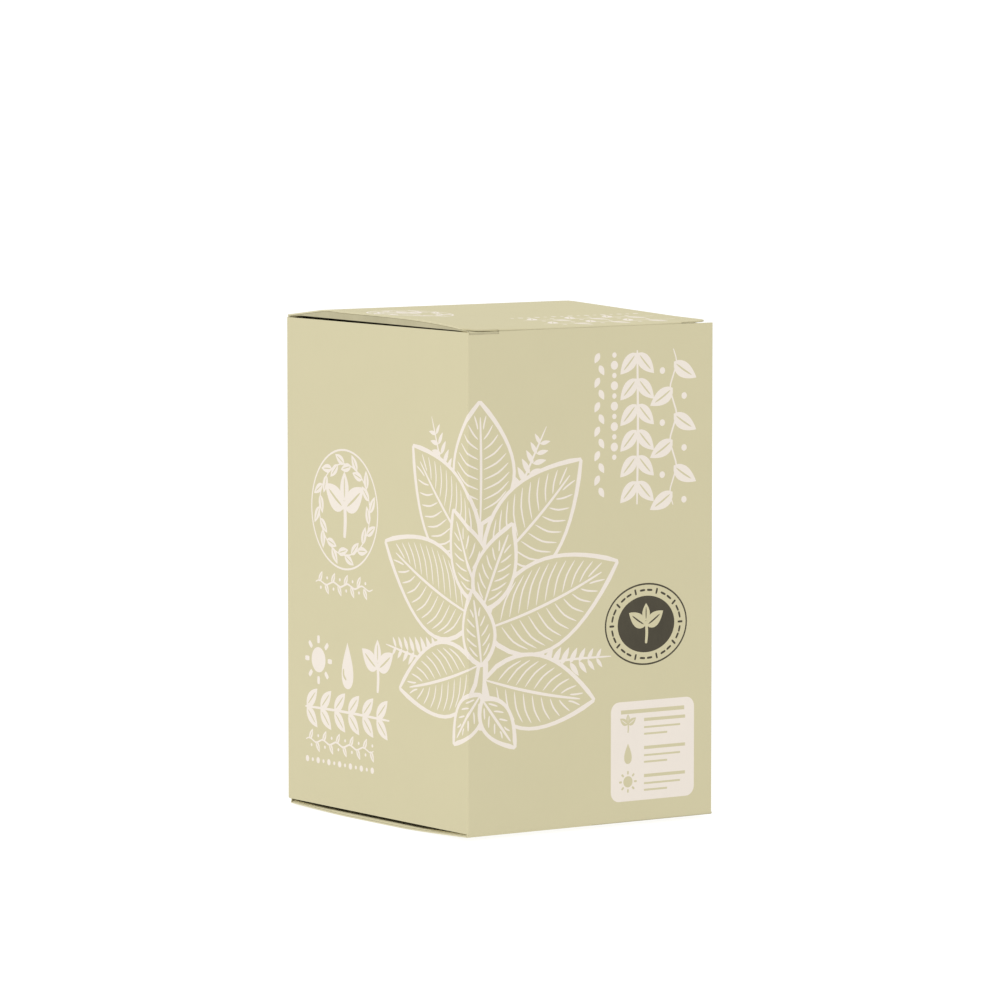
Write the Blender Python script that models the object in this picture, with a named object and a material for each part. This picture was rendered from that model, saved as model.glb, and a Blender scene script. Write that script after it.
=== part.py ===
"""Mushroom grow kit: a printed folding carton with a bowed tuck lid, and its grow bag.

Metres, +Z up. The origin is the middle of the carton's foot, on the surface it stands on.
The front panel faces -Y, the left panel -X, and the lid hinges on the back panel's top edge.
"""

import math

import bmesh
import bpy
from mathutils import Vector

# Driving sizes of the carton
WIDTH = 0.1205
DEPTH = 0.1310
BOARD = 0.0006
GAP = 0.0003
WALL_TOP = 0.2019
FRONT_FOOT = 0.0025
BACK_FOOT = 0.0020
SIDE_FOOT = 0.0029

# Lid: heights of its upper face above the wall tops
LID_FRONT_HEIGHT = 0.0005
LID_BACK_HEIGHT = 0.0010
LID_RISE = 0.041
LID_FALL = 0.120
CREST_SOFTNESS = 0.0003
LEFT_LIFT = 0.0016
LEFT_LIFT_FRONT = -0.068
LEFT_LIFT_LENGTH = 0.092
LEFT_LIFT_SKEW = 0.68
LEFT_LIFT_REACH = 0.045
LID_CORNER = 0.0065
LID_LENGTH_ROWS = 17
LID_COLUMNS = 9
CORNER_ROWS = 5

# Tuck flaps of the lid and of the bottom
TUCK_HALF_WIDTH = 0.0445
TUCK_LENGTH = 0.016
TUCK_LEAN = 0.0013
TUCK_CORNER = 0.006

# Dust flaps: the left one has a shoulder that reaches to the front panel
DUST_GAP = 0.0004
DUST_INNER_X = 0.018
DUST_SHOULDER_X = 0.046
DUST_END_X = 0.040
DUST_BACK_Y = 0.0600
DUST_BACK_SLOPE_Y = 0.048
SHOULDER_SETBACK = 0.0002
SHOULDER_BACK_Y = -0.0615
NECK_Y = -0.0580
NECK_STEP = 0.002
LEFT_FRONT_SLOPE_Y = -0.048
RIGHT_FRONT_Y = -0.0560
RIGHT_FRONT_SLOPE_Y = -0.044
NOTCH_LENGTH = 0.0150
NOTCH_DEPTH = 0.0012

# Bottom: a belly that is flat where it stands, with its two folds a little higher
BELLY_MIDDLE = 0.002
BELLY_FLAT = 0.022
BELLY_FRONT_RISE = 0.0016
BELLY_BACK_RISE = 0.0011
BELLY_POWER = 1.2
BELLY_ROWS = 7

# Bottom dust flaps: their ends, and the rows that follow the belly
BASE_DUST_FRONT_Y = -0.0600
BASE_DUST_FRONT_ROWS = (-0.050, -0.042, -0.034, -0.026)
BASE_DUST_BACK_ROWS = (0.032, 0.040, 0.048)
BASE_DUST_BACK_Y = 0.0590

# Glue seam inside the back left corner
SEAM_WIDTH = 0.0130
SEAM_FOOT = 0.022
SEAM_TOP = 0.196
SEAM_TAPER = 0.006

# Grow bag, its filter patch and the block inside it
BAG_HALF_X = 0.0555
BAG_HALF_Y = 0.0600
BAG_FOOT = 0.0048
BAG_TOP = 0.1650
BAG_FILM = 0.0008
BAG_CORNER = 0.012
CORNER_SEGMENTS = 3
PATCH_SIDE = 0.044
PATCH_THICKNESS = 0.0006
WINDOW_SIDE = 0.030
BLOCK_MARGIN = 0.0016
BLOCK_TOP = 0.1500
BLOCK_CORNER = 0.010

# Faces that many pieces are placed from
HALF_WIDTH = WIDTH / 2
HALF_DEPTH = DEPTH / 2
INNER_X = HALF_WIDTH - BOARD
INNER_Y = HALF_DEPTH - BOARD
LID_FRONT_Y = -(INNER_Y - GAP)
LID_BACK_Y = HALF_DEPTH
LID_LEFT_X = -HALF_WIDTH
LID_RIGHT_X = INNER_X - GAP

PRINTED_BOARD = (0.680, 0.622, 0.407)
PLAIN_BOARD = (0.520, 0.460, 0.330)
BAG_PLASTIC = (0.830, 0.830, 0.800)
PATCH_PAPER = (0.860, 0.860, 0.840)
MYCELIUM = (0.800, 0.760, 0.680)


def material(name, colour, roughness):
    """A plain Principled material."""
    made = bpy.data.materials.new(name)
    made.use_nodes = True
    shader = made.node_tree.nodes["Principled BSDF"]
    shader.inputs["Base Color"].default_value = (*colour, 1.0)
    shader.inputs["Roughness"].default_value = roughness
    shader.inputs["Metallic"].default_value = 0.0
    return made


def add_object(name, mesh_source, finish):
    """Turns a bmesh into an object with its faces pointing out."""
    bmesh.ops.recalc_face_normals(mesh_source, faces=mesh_source.faces)
    mesh = bpy.data.meshes.new(name)
    mesh_source.to_mesh(mesh)
    mesh_source.free()
    mesh.materials.append(finish)
    made = bpy.data.objects.new(name, mesh)
    bpy.context.scene.collection.objects.link(made)
    return made


def sheet_between(name, upper, lower, finish):
    """A closed plate between two grids of points that have the same rows and columns."""
    source = bmesh.new()
    grids = [[[source.verts.new(p) for p in row] for row in grid] for grid in (upper, lower)]
    rows = len(upper)
    columns = len(upper[0])
    for grid in grids:
        for r in range(rows - 1):
            for c in range(columns - 1):
                source.faces.new((grid[r][c], grid[r][c + 1], grid[r + 1][c + 1], grid[r + 1][c]))
    rim = [(0, c) for c in range(columns)]
    rim += [(r, columns - 1) for r in range(1, rows)]
    rim += [(rows - 1, c) for c in range(columns - 2, -1, -1)]
    rim += [(r, 0) for r in range(rows - 2, 0, -1)]
    top, bottom = grids
    for (r0, c0), (r1, c1) in zip(rim, rim[1:] + rim[:1]):
        source.faces.new((top[r0][c0], top[r1][c1], bottom[r1][c1], bottom[r0][c0]))
    return add_object(name, source, finish)


def cut_plate(name, outline, thickness, finish):
    """A flat plate: an outline of points in one plane, extruded along a thickness vector."""
    source = bmesh.new()
    face = source.faces.new([source.verts.new(p) for p in outline])
    grown = bmesh.ops.extrude_face_region(source, geom=[face])
    moved = [item for item in grown["geom"] if isinstance(item, bmesh.types.BMVert)]
    bmesh.ops.translate(source, verts=moved, vec=thickness)
    return add_object(name, source, finish)


def spread(start, end, count):
    """Evenly spaced values from start to end."""
    return [start + (end - start) * i / (count - 1) for i in range(count)]


def smooth_step(value):
    """Eases from 0 to 1."""
    t = min(max(value, 0.0), 1.0)
    return t * t * (3.0 - 2.0 * t)


def left_lift(x, y):
    """How far the sprung left dust flap pushes the lid's left margin up."""
    along = (y - LEFT_LIFT_FRONT) / LEFT_LIFT_LENGTH
    if not 0.0 < along < 1.0:
        return 0.0
    across = smooth_step((LID_LEFT_X + LEFT_LIFT_REACH - x) / LEFT_LIFT_REACH)
    return LEFT_LIFT * math.sin(math.pi * along ** LEFT_LIFT_SKEW) * across


def lid_top(x, y):
    """Height of the lid's upper face: a long rise from the front, a short fall to the hinge."""
    rise = LID_FRONT_HEIGHT + LID_RISE * (y - LID_FRONT_Y)
    fall = LID_BACK_HEIGHT + LID_FALL * (LID_BACK_Y - y)
    softest = min(rise, fall)
    blend = CREST_SOFTNESS * math.log(1.0 + math.exp(-abs(rise - fall) / CREST_SOFTNESS))
    return WALL_TOP + softest - blend + left_lift(x, y)


def belly(y):
    """Height of the bottom panel's underside."""
    away = abs(y - BELLY_MIDDLE) - BELLY_FLAT
    if away <= 0.0:
        return 0.0
    front = y < BELLY_MIDDLE
    rise = BELLY_FRONT_RISE if front else BELLY_BACK_RISE
    reach = HALF_DEPTH + (BELLY_MIDDLE if front else -BELLY_MIDDLE) - BELLY_FLAT
    return rise * (away / reach) ** BELLY_POWER


def hung_sheet(name, rows, top_of, finish, columns=LID_COLUMNS):
    """A board whose upper face follows top_of, with rows given as (y, left x, right x)."""
    upper = []
    for y, left, right in rows:
        upper.append([Vector((x, y, top_of(x, y))) for x in spread(left, right, columns)])
    lower = [[p - Vector((0, 0, BOARD)) for p in row] for row in upper]
    return sheet_between(name, upper, lower, finish)


def build_walls(printed, plain):
    """The four walls and the glued seam, each a flat panel between two creases."""
    side_y = INNER_Y - GAP
    notch_x = -HALF_WIDTH + NOTCH_LENGTH
    front = [
        (-HALF_WIDTH, -HALF_DEPTH, FRONT_FOOT), (HALF_WIDTH, -HALF_DEPTH, FRONT_FOOT),
        (HALF_WIDTH, -HALF_DEPTH, WALL_TOP), (notch_x, -HALF_DEPTH, WALL_TOP),
        (notch_x, -HALF_DEPTH, WALL_TOP - NOTCH_DEPTH),
        (-HALF_WIDTH, -HALF_DEPTH, WALL_TOP - NOTCH_DEPTH),
    ]
    cut_plate("front_panel", front, Vector((0, BOARD, 0)), printed)
    back_top = WALL_TOP + LID_BACK_HEIGHT - BOARD - DUST_GAP
    back = [
        (-HALF_WIDTH, HALF_DEPTH, BACK_FOOT), (HALF_WIDTH, HALF_DEPTH, BACK_FOOT),
        (HALF_WIDTH, HALF_DEPTH, back_top), (-HALF_WIDTH, HALF_DEPTH, back_top),
    ]
    cut_plate("back_panel", back, Vector((0, -BOARD, 0)), printed)
    for name, side in (("left_panel", -1), ("right_panel", 1)):
        x = side * HALF_WIDTH
        wall = [
            (x, -side_y, SIDE_FOOT), (x, side_y, SIDE_FOOT),
            (x, side_y, WALL_TOP), (x, -side_y, WALL_TOP),
        ]
        cut_plate(name, wall, Vector((-side * BOARD, 0, 0)), printed)
    seam_x = -(INNER_X - GAP)
    seam_y = INNER_Y - GAP
    seam = [
        (seam_x, seam_y, SEAM_FOOT), (seam_x + SEAM_WIDTH, seam_y, SEAM_FOOT + SEAM_TAPER),
        (seam_x + SEAM_WIDTH, seam_y, SEAM_TOP - SEAM_TAPER), (seam_x, seam_y, SEAM_TOP),
    ]
    cut_plate("glue_flap", seam, Vector((0, -BOARD, 0)), plain)


def lid_rows():
    """Rows of the lid from front to back, with its two front corners rounded."""
    turns = [math.pi / 2 * i / CORNER_ROWS for i in range(CORNER_ROWS + 1)]
    rows = []
    for turn in turns:
        inset = LID_CORNER * (1.0 - math.sin(turn))
        y = LID_FRONT_Y + LID_CORNER * (1.0 - math.cos(turn))
        rows.append((y, LID_LEFT_X + inset, LID_RIGHT_X - inset))
    for y in spread(LID_FRONT_Y + LID_CORNER, LID_BACK_Y, LID_LENGTH_ROWS)[1:]:
        rows.append((y, LID_LEFT_X, LID_RIGHT_X))
    return rows


def tuck_plate(name, outer_y, fold_z, tip_z, finish):
    """A tuck flap that leans in a little, with round outer corners."""
    half = TUCK_HALF_WIDTH
    down = 1.0 if tip_z < fold_z else -1.0
    corner = []
    for i in range(CORNER_ROWS):
        turn = math.pi / 2 * i / (CORNER_ROWS - 1)
        x = half - TUCK_CORNER * (1.0 - math.cos(turn))
        z = tip_z + down * TUCK_CORNER * (1.0 - math.sin(turn))
        corner.append((x, z))
    edge = [(half, fold_z)] + corner
    outline = edge + [(-x, z) for x, z in reversed(edge)]
    inward = math.copysign(1.0, -outer_y)

    def face_y(z):
        return outer_y + inward * TUCK_LEAN * (fold_z - z) / (fold_z - tip_z)

    points = [(x, face_y(z), z) for x, z in outline]
    return cut_plate(name, points, Vector((0, inward * BOARD, 0)), finish)


def build_lid(printed):
    """The bowed lid and its tuck flap, both turning about the back panel's top crease."""
    hinge = bpy.data.objects.new("lid_hinge", None)
    hinge.location = (0.0, LID_BACK_Y, WALL_TOP + LID_BACK_HEIGHT)
    bpy.context.scene.collection.objects.link(hinge)
    lid = hung_sheet("lid_panel", lid_rows(), lid_top, printed)
    fold_z = WALL_TOP + LID_FRONT_HEIGHT - BOARD - GAP
    tuck = tuck_plate("tuck_flap", LID_FRONT_Y, fold_z, fold_z - TUCK_LENGTH, printed)
    for moving in (lid, tuck):
        moving.parent = hinge
        moving.matrix_parent_inverse = hinge.matrix_basis.inverted()


def build_dust_flaps(printed):
    """The flaps under the lid. The left one's shoulder reaches into the front panel's notch."""
    outer_x = INNER_X - GAP

    def under_lid(x, y):
        return lid_top(x, y) - BOARD - DUST_GAP

    left_rows = spread(LEFT_FRONT_SLOPE_Y, DUST_BACK_SLOPE_Y, LID_LENGTH_ROWS)
    left = [
        (-HALF_DEPTH + SHOULDER_SETBACK, -outer_x, -DUST_SHOULDER_X),
        (SHOULDER_BACK_Y, -outer_x, -DUST_SHOULDER_X),
        (NECK_Y, -outer_x, -DUST_SHOULDER_X + NECK_STEP),
    ]
    left += [(y, -outer_x, -DUST_INNER_X) for y in left_rows]
    left += [(DUST_BACK_Y, -outer_x, -DUST_END_X)]
    hung_sheet("left_dust_flap", left, under_lid, printed)
    right_rows = spread(RIGHT_FRONT_SLOPE_Y, DUST_BACK_SLOPE_Y, LID_LENGTH_ROWS)
    right = [(RIGHT_FRONT_Y, DUST_END_X, outer_x)]
    right += [(y, DUST_INNER_X, outer_x) for y in right_rows]
    right += [(DUST_BACK_Y, DUST_END_X, outer_x)]
    hung_sheet("right_dust_flap", right, under_lid, printed)


def build_bottom(printed, plain):
    """The bottom panel, tucked in behind the back panel, and the two flaps above it."""
    flat_front = BELLY_MIDDLE - BELLY_FLAT
    flat_back = BELLY_MIDDLE + BELLY_FLAT
    front_rows = spread(-HALF_DEPTH, flat_front, BELLY_ROWS)
    back_rows = spread(flat_back, INNER_Y - GAP, BELLY_ROWS)
    rows = [(y, -HALF_WIDTH, HALF_WIDTH) for y in front_rows + back_rows]
    hung_sheet("bottom_panel", rows, lambda x, y: belly(y) + BOARD, printed, columns=3)
    outer_x = INNER_X - GAP
    for name, side in (("bottom_left_dust_flap", -1), ("bottom_right_dust_flap", 1)):
        inside = [(BASE_DUST_FRONT_Y, DUST_END_X)]
        inside += [(y, DUST_INNER_X) for y in (*BASE_DUST_FRONT_ROWS, flat_front)]
        inside += [(y, DUST_INNER_X) for y in (flat_back, *BASE_DUST_BACK_ROWS)]
        inside += [(BASE_DUST_BACK_Y, DUST_END_X)]
        flap = [(y, *sorted((side * x, side * outer_x))) for y, x in inside]
        hung_sheet(name, flap, lambda x, y: belly(y) + 2 * BOARD + DUST_GAP, plain, columns=3)
    fold_z = BELLY_BACK_RISE + BOARD + GAP
    tuck_plate("bottom_tuck_flap", INNER_Y - GAP, fold_z, fold_z + TUCK_LENGTH, plain)


def rounded_block(half_x, half_y, foot, top, corner):
    """A box with rounded edges, as a bmesh."""
    source = bmesh.new()
    bmesh.ops.create_cube(source, size=1.0)
    for vert in source.verts:
        vert.co.x *= 2 * half_x
        vert.co.y *= 2 * half_y
        vert.co.z = foot if vert.co.z < 0 else top
    bmesh.ops.bevel(
        source,
        geom=source.edges[:],
        offset=corner,
        segments=CORNER_SEGMENTS,
        profile=0.5,
        affect="EDGES",
    )
    return source


def build_contents(plastic, paper, grown):
    """The grow bag is a film with a breathing window, closed by the filter patch over it."""
    bag = rounded_block(BAG_HALF_X, BAG_HALF_Y, BAG_FOOT, BAG_TOP, BAG_CORNER)
    lid_face = max(bag.faces, key=lambda face: face.calc_center_median().z)
    bmesh.ops.inset_individual(bag, faces=[lid_face], thickness=BAG_CORNER)
    for vert in lid_face.verts:
        vert.co.x = math.copysign(WINDOW_SIDE / 2, vert.co.x)
        vert.co.y = math.copysign(WINDOW_SIDE / 2, vert.co.y)
    bmesh.ops.delete(bag, geom=[lid_face], context="FACES_ONLY")
    film = add_object("grow_bag", bag, plastic)
    wall = film.modifiers.new("Film", "SOLIDIFY")
    wall.thickness = BAG_FILM
    wall.offset = -1.0
    half = PATCH_SIDE / 2
    patch_z = BAG_TOP + GAP
    patch = [
        (-half, -half, patch_z),
        (half, -half, patch_z),
        (half, half, patch_z),
        (-half, half, patch_z),
    ]
    cut_plate("filter_patch", patch, Vector((0, 0, PATCH_THICKNESS)), paper)
    inset = BAG_FILM + BLOCK_MARGIN
    block = rounded_block(
        BAG_HALF_X - inset, BAG_HALF_Y - inset, BAG_FOOT + inset, BLOCK_TOP, BLOCK_CORNER
    )
    add_object("substrate_block", block, grown)


for old in list(bpy.data.objects):
    bpy.data.objects.remove(old, do_unlink=True)

printed_board = material("printed_board", PRINTED_BOARD, 0.75)
plain_board = material("plain_board", PLAIN_BOARD, 0.85)
build_walls(printed_board, plain_board)
build_lid(printed_board)
build_dust_flaps(printed_board)
build_bottom(printed_board, plain_board)
build_contents(
    material("bag_plastic", BAG_PLASTIC, 0.35),
    material("patch_paper", PATCH_PAPER, 0.80),
    material("mycelium_block", MYCELIUM, 0.90),
)
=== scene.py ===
import bisect
import math

import bmesh
import bpy
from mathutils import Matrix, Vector, noise
from mathutils.geometry import delaunay_2d_cdt


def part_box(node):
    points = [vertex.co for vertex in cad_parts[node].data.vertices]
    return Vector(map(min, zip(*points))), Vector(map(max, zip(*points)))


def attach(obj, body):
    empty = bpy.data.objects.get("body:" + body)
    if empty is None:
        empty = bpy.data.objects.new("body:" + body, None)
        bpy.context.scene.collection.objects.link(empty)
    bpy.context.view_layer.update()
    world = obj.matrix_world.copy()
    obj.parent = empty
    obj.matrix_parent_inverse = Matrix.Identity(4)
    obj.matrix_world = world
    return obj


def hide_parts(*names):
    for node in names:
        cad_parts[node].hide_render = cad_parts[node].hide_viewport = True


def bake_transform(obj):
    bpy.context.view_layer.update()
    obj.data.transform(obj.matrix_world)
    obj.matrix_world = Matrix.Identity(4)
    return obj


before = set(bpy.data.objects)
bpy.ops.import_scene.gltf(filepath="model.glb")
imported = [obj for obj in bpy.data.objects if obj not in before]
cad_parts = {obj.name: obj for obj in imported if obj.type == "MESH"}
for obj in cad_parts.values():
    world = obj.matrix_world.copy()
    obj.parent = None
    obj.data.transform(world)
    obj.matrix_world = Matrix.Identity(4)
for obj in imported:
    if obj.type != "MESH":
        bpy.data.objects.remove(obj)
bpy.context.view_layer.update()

# View: a long lens from the front left, a little above the carton's middle.
# The picture is flat and even, so colours come through a plain display transform.
AZIMUTH = math.radians(-34.857)
ELEVATION = math.radians(5.016)
EYE_DISTANCE = 2.4798
LENS = 218.8
SIDE_STEP = 0.00047
AIM_HEIGHT = 0.12836

scene = bpy.context.scene
eye_way = Vector((
    math.sin(AZIMUTH) * math.cos(ELEVATION),
    -math.cos(AZIMUTH) * math.cos(ELEVATION),
    math.sin(ELEVATION),
))
eye_right = Vector((math.cos(AZIMUTH), math.sin(AZIMUTH), 0.0))
camera = bpy.data.objects.new("view_camera", bpy.data.cameras.new("view_camera"))
scene.collection.objects.link(camera)
camera.data.lens = LENS
camera.data.sensor_width = 36.0
camera.data.clip_start = 0.05
camera.data.clip_end = 50.0
camera.location = eye_right * SIDE_STEP + Vector((0, 0, AIM_HEIGHT)) + eye_way * EYE_DISTANCE
camera.rotation_mode = "QUATERNION"
camera.rotation_quaternion = (-eye_way).to_track_quat("-Z", "Y")
scene.camera = camera
scene.view_settings.view_transform = "Standard"
scene.view_settings.look = "None"

# Light and floor: an even white room, a wide softbox on the left, a weak one overhead, and a white
# light table that is bright enough to run into the background, with a faint contact shadow.
ROOM_LIGHT = 1.04
SOFTBOX_POWER = 15.4
SOFTBOX_SIZE = 2.4
SOFTBOX_PLACE = Vector((-2.6, -0.9, 1.3))
SOFTBOX_AIM = Vector((0.0, 0.0, 0.1))
OVERHEAD_POWER = 5.0
OVERHEAD_SIZE = 2.0
OVERHEAD_HEIGHT = 2.4
TABLE_SIZE = 12.0
TABLE_WHITE = 0.22
TABLE_GLOW = 0.86

room = bpy.data.worlds.new("white_room")
room.use_nodes = True
background = room.node_tree.nodes["Background"].inputs
background["Color"].default_value = (1.0, 1.0, 1.0, 1.0)
background["Strength"].default_value = ROOM_LIGHT
scene.world = room


def area_light(name, power, size, place):
    """A square softbox that faces down until it is turned."""
    light = bpy.data.objects.new(name, bpy.data.lights.new(name, "AREA"))
    light.data.energy = power
    light.data.size = size
    light.location = place
    scene.collection.objects.link(light)
    return light


softbox = area_light("softbox", SOFTBOX_POWER, SOFTBOX_SIZE, SOFTBOX_PLACE)
softbox.rotation_euler = (SOFTBOX_AIM - SOFTBOX_PLACE).to_track_quat("-Z", "Y").to_euler()
area_light("overhead_softbox", OVERHEAD_POWER, OVERHEAD_SIZE, (0.0, 0.0, OVERHEAD_HEIGHT))


def new_material(name, **values):
    """A Principled material, with its ways to add nodes and to join them."""
    made = bpy.data.materials.new(name)
    made.use_nodes = True
    nodes = made.node_tree.nodes

    def wire(node, inputs):
        for key, value in inputs.items():
            socket = node.inputs[key if isinstance(key, int) else key.replace("_", " ")]
            if isinstance(value, bpy.types.NodeSocket):
                made.node_tree.links.new(value, socket)
            else:
                socket.default_value = value
        return node

    def add(kind, output=0, **inputs):
        return wire(nodes.new("ShaderNode" + kind), inputs).outputs[output]

    def mix(share, low, high):
        node = nodes.new("ShaderNodeMix")
        node.data_type = "RGBA"
        return wire(node, {"Factor": share, "A": low, "B": high}).outputs["Result"]

    def add_up(value, factor, addend):
        node = nodes.new("ShaderNodeMath")
        node.operation = "MULTIPLY_ADD"
        return wire(node, {0: value, 1: factor, 2: addend}).outputs["Value"]

    def finish(**inputs):
        wire(nodes["Principled BSDF"], inputs)

    finish(**values)
    return made, add, mix, add_up, finish


bpy.ops.mesh.primitive_plane_add(size=TABLE_SIZE)
table_top = bpy.context.object
table_top.name = "table_top"
table_top.data.materials.append(new_material(
    "table_white", Base_Color=(TABLE_WHITE, TABLE_WHITE, TABLE_WHITE, 1.0),
    Emission_Color=(1.0, 1.0, 1.0, 1.0), Emission_Strength=TABLE_GLOW,
    Roughness=1.0, Specular_IOR_Level=0.0,
)[0])

# Sleeve: the four walls are one strip of 0.6 mm folding boxboard, printed khaki outside.
# Three creases turn it round, and a flap on the left wall's rear crease is glued inside the back.
# The front wall's top left is cut down a little, where the left dust flap's shoulder locks in.
(LEFT_X, FRONT_Y, FRONT_FOOT), (RIGHT_X, FRONT_INNER_Y, WALL_TOP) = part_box("front_panel")
BACK_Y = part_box("back_panel")[1].y
BACK_DROP = 0.0005
BACK_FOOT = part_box("back_panel")[0].z - BACK_DROP
SIDE_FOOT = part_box("left_panel")[0].z
BOARD = FRONT_INNER_Y - FRONT_Y
GAP = 0.0001
CREASE = 0.00065
REAR_CREASE = 0.0003
CREASE_STEPS = 4
NOTCH_X = LEFT_X + 0.0150
NOTCH_Z = WALL_TOP - 0.0010
SEAM_LOW, SEAM_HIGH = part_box("glue_flap")
SEAM_STEP = 0.0016
SEAM_TAPER = 0.93
RELIEF = 0.0007
RELIEF_Y = -0.0500
FOOT_CORNER = 0.0013
TINY = 1e-5

PRINT_COLOUR = (0.566, 0.521, 0.338)
PLAIN_COLOUR = (0.455, 0.400, 0.205)
# Raw cut edges: the board's own edge colour, set a little paler than the print as painted highlight on the
# lit edges.
EDGE_AND_HIGHLIGHT_COLOUR = (0.590, 0.545, 0.362)
# Painted shade: a darker board colour for the flap folds' roll and the shoulder's lip under the lid, and
# for a hairline along the foot.
FOLD_SHADE_COLOUR = (0.402, 0.370, 0.236)


def board(name, colour, fleck, fibre_size=0.0011, mottle=0.010, bump=0.2, roughness=0.88):
    """Boxboard: fine fibres lie along the height, over soft clouds of slightly uneven ink."""
    made, add, mix, add_up, finish = new_material(name, Specular_IOR_Level=0.12)
    place = add("TexCoord", "Object")
    stretched = add("Mapping", Vector=place, Scale=(1.0, 1.0, 0.3))
    fibres = add("TexNoise", Vector=stretched, Scale=1.0 / fibre_size, Detail=6.0, Roughness=0.65)
    clouds = add("TexNoise", Vector=place, Scale=55.0, Detail=4.0)
    share = add("MapRange", Value=add_up(fibres, 0.6, clouds), From_Min=0.45, From_Max=1.15)
    low = (*(c * (1.0 - mottle) for c in colour), 1.0)
    high = (*(min(c + mottle * f, 1.0) for c, f in zip(colour, fleck)), 1.0)
    sheen = add("MapRange", Value=clouds, To_Min=roughness - 0.06, To_Max=min(roughness + 0.06, 1.0))
    relief = add("Bump", Strength=bump, Distance=0.00004, Height=fibres)
    finish(Base_Color=mix(share, low, high), Roughness=sheen, Normal=relief)
    return made


printed_board = board("printed_board", PRINT_COLOUR, PRINT_COLOUR)
plain_board = board("plain_board", PLAIN_COLOUR, (0.9, 0.8, 0.6), fibre_size=0.0016, mottle=0.07)
raw_edge_and_highlight = board("raw_edge_and_highlight", EDGE_AND_HIGHLIGHT_COLOUR, EDGE_AND_HIGHLIGHT_COLOUR, fibre_size=0.0005, mottle=0.04)
painted_shade_fold = board("painted_shade_fold", FOLD_SHADE_COLOUR, (0.9, 0.8, 0.6), fibre_size=0.0005, mottle=0.08)
BOARD_FINISHES = (printed_board, plain_board, raw_edge_and_highlight)


def pick(kind, test):
    """Selects the corners, edges or faces that pass a test."""
    bpy.ops.mesh.select_mode(type=kind)
    bpy.ops.mesh.select_all(action="DESELECT")
    mesh = bpy.context.edit_object.data
    shell = bmesh.from_edit_mesh(mesh)
    shell.normal_update()
    for part in {"VERT": shell.verts, "EDGE": shell.edges, "FACE": shell.faces}[kind]:
        if test(part):
            part.select_set(True)
    shell.select_flush_mode()
    bmesh.update_edit_mesh(mesh)


def middle(part):
    """The middle of an edge or a face."""
    return sum((v.co for v in part.verts), Vector()) / len(part.verts)


def along_z(edge):
    """True for an upright edge."""
    a, b = edge.verts
    return abs(a.co.x - b.co.x) < TINY and abs(a.co.y - b.co.y) < TINY


def drop_faces(test):
    """Deletes the faces that pass a test."""
    pick("FACE", test)
    bpy.ops.mesh.delete(type="FACE")


def slice_at(axis, *values):
    """Cuts the mesh square to an axis, at some values."""
    normal = [float(axis == name) for name in "xyz"]
    bpy.ops.mesh.select_mode(type="FACE")
    for value in values:
        bpy.ops.mesh.select_all(action="SELECT")
        place = [part * value for part in normal]
        bpy.ops.mesh.bisect(plane_co=place, plane_no=normal, threshold=1e-7)


def between(start, end, count):
    """The values that divide a length into a number of equal steps."""
    return [start + (end - start) * i / count for i in range(1, count)]


def start_piece(name, location, scale=(1, 1, 1), make=bpy.ops.mesh.primitive_cube_add):
    """Adds a primitive at its place and size and opens it for editing."""
    bpy.ops.object.select_all(action="DESELECT")
    make(size=1.0, location=location, scale=scale)
    piece = bpy.context.object
    piece.name = name
    piece.data.name = name
    bpy.ops.object.transform_apply(location=True, rotation=True, scale=True)
    bpy.ops.object.mode_set(mode="EDIT")
    return piece


def reshape(place_at):
    """Moves every point to the place that a function gives it."""
    mesh = bpy.context.edit_object.data
    shell = bmesh.from_edit_mesh(mesh)
    shell.normal_update()
    places = [(vert, place_at(vert)) for vert in shell.verts]
    for vert, place in places:
        vert.co = place
    bmesh.update_edit_mesh(mesh)


def lift_points(height_at):
    """Raises every point by a height that depends on its place."""
    reshape(lambda vert: (vert.co.x, vert.co.y, vert.co.z + height_at(vert.co)))


def extrude(move):
    """Extrudes what is picked."""
    bpy.ops.mesh.extrude_region_move(TRANSFORM_OT_translate={"value": move})


def shift(kind, test, move):
    """Moves what passes a test."""
    pick(kind, test)
    bpy.ops.transform.translate(value=move)


def bevel(kind, test, offset, segments):
    """Rounds the edges or corners that pass a test."""
    pick(kind, test)
    affect = "EDGES" if kind == "EDGE" else "VERTICES"
    bpy.ops.mesh.bevel(offset=offset, segments=segments, profile=0.5, affect=affect)


def edges_at(axis, value):
    """A test for edges that lie at one x, y or z."""
    return lambda edge: max(abs(getattr(v.co, axis) - value) for v in edge.verts) < TINY


def widen(edge_at, move, corner_at=None, corner_move=(0, 0, 0)):
    """Extrudes an edge of the sheet, then slides one of its new corners along."""
    pick("EDGE", edge_at)
    extrude(move)
    if corner_at:
        shift("VERT", corner_at, corner_move)


def flat_sheet(name, left_x, right_x, front_y, back_y, face_down=False):
    """A rectangle at height zero, open for editing."""
    x, y = (left_x + right_x) / 2, (front_y + back_y) / 2
    made = start_piece(name, (x, y, 0.0), make=bpy.ops.mesh.primitive_plane_add)
    size = abs(left_x - right_x), back_y - front_y, 1.0
    bpy.ops.transform.resize(value=size, center_override=(x, y, 0.0))
    if face_down:
        bpy.ops.mesh.select_all(action="SELECT")
        bpy.ops.mesh.flip_normals()
    return made


def thicken(piece, finishes=BOARD_FINISHES, thickness=BOARD):
    """Gives a sheet its thickness behind its printed face: printed, plain inside, raw at the edges, whose
    colour is set a little pale as painted highlight.
    """
    bpy.ops.object.mode_set(mode="OBJECT")
    for finish in finishes:
        piece.data.materials.append(finish)
    wall = piece.modifiers.new("Board", "SOLIDIFY")
    wall.thickness = thickness
    wall.offset = -1.0
    wall.use_even_offset = True
    wall.material_offset = 1
    wall.material_offset_rim = 2
    bpy.ops.object.modifier_apply(modifier="Board")
    return piece


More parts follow.
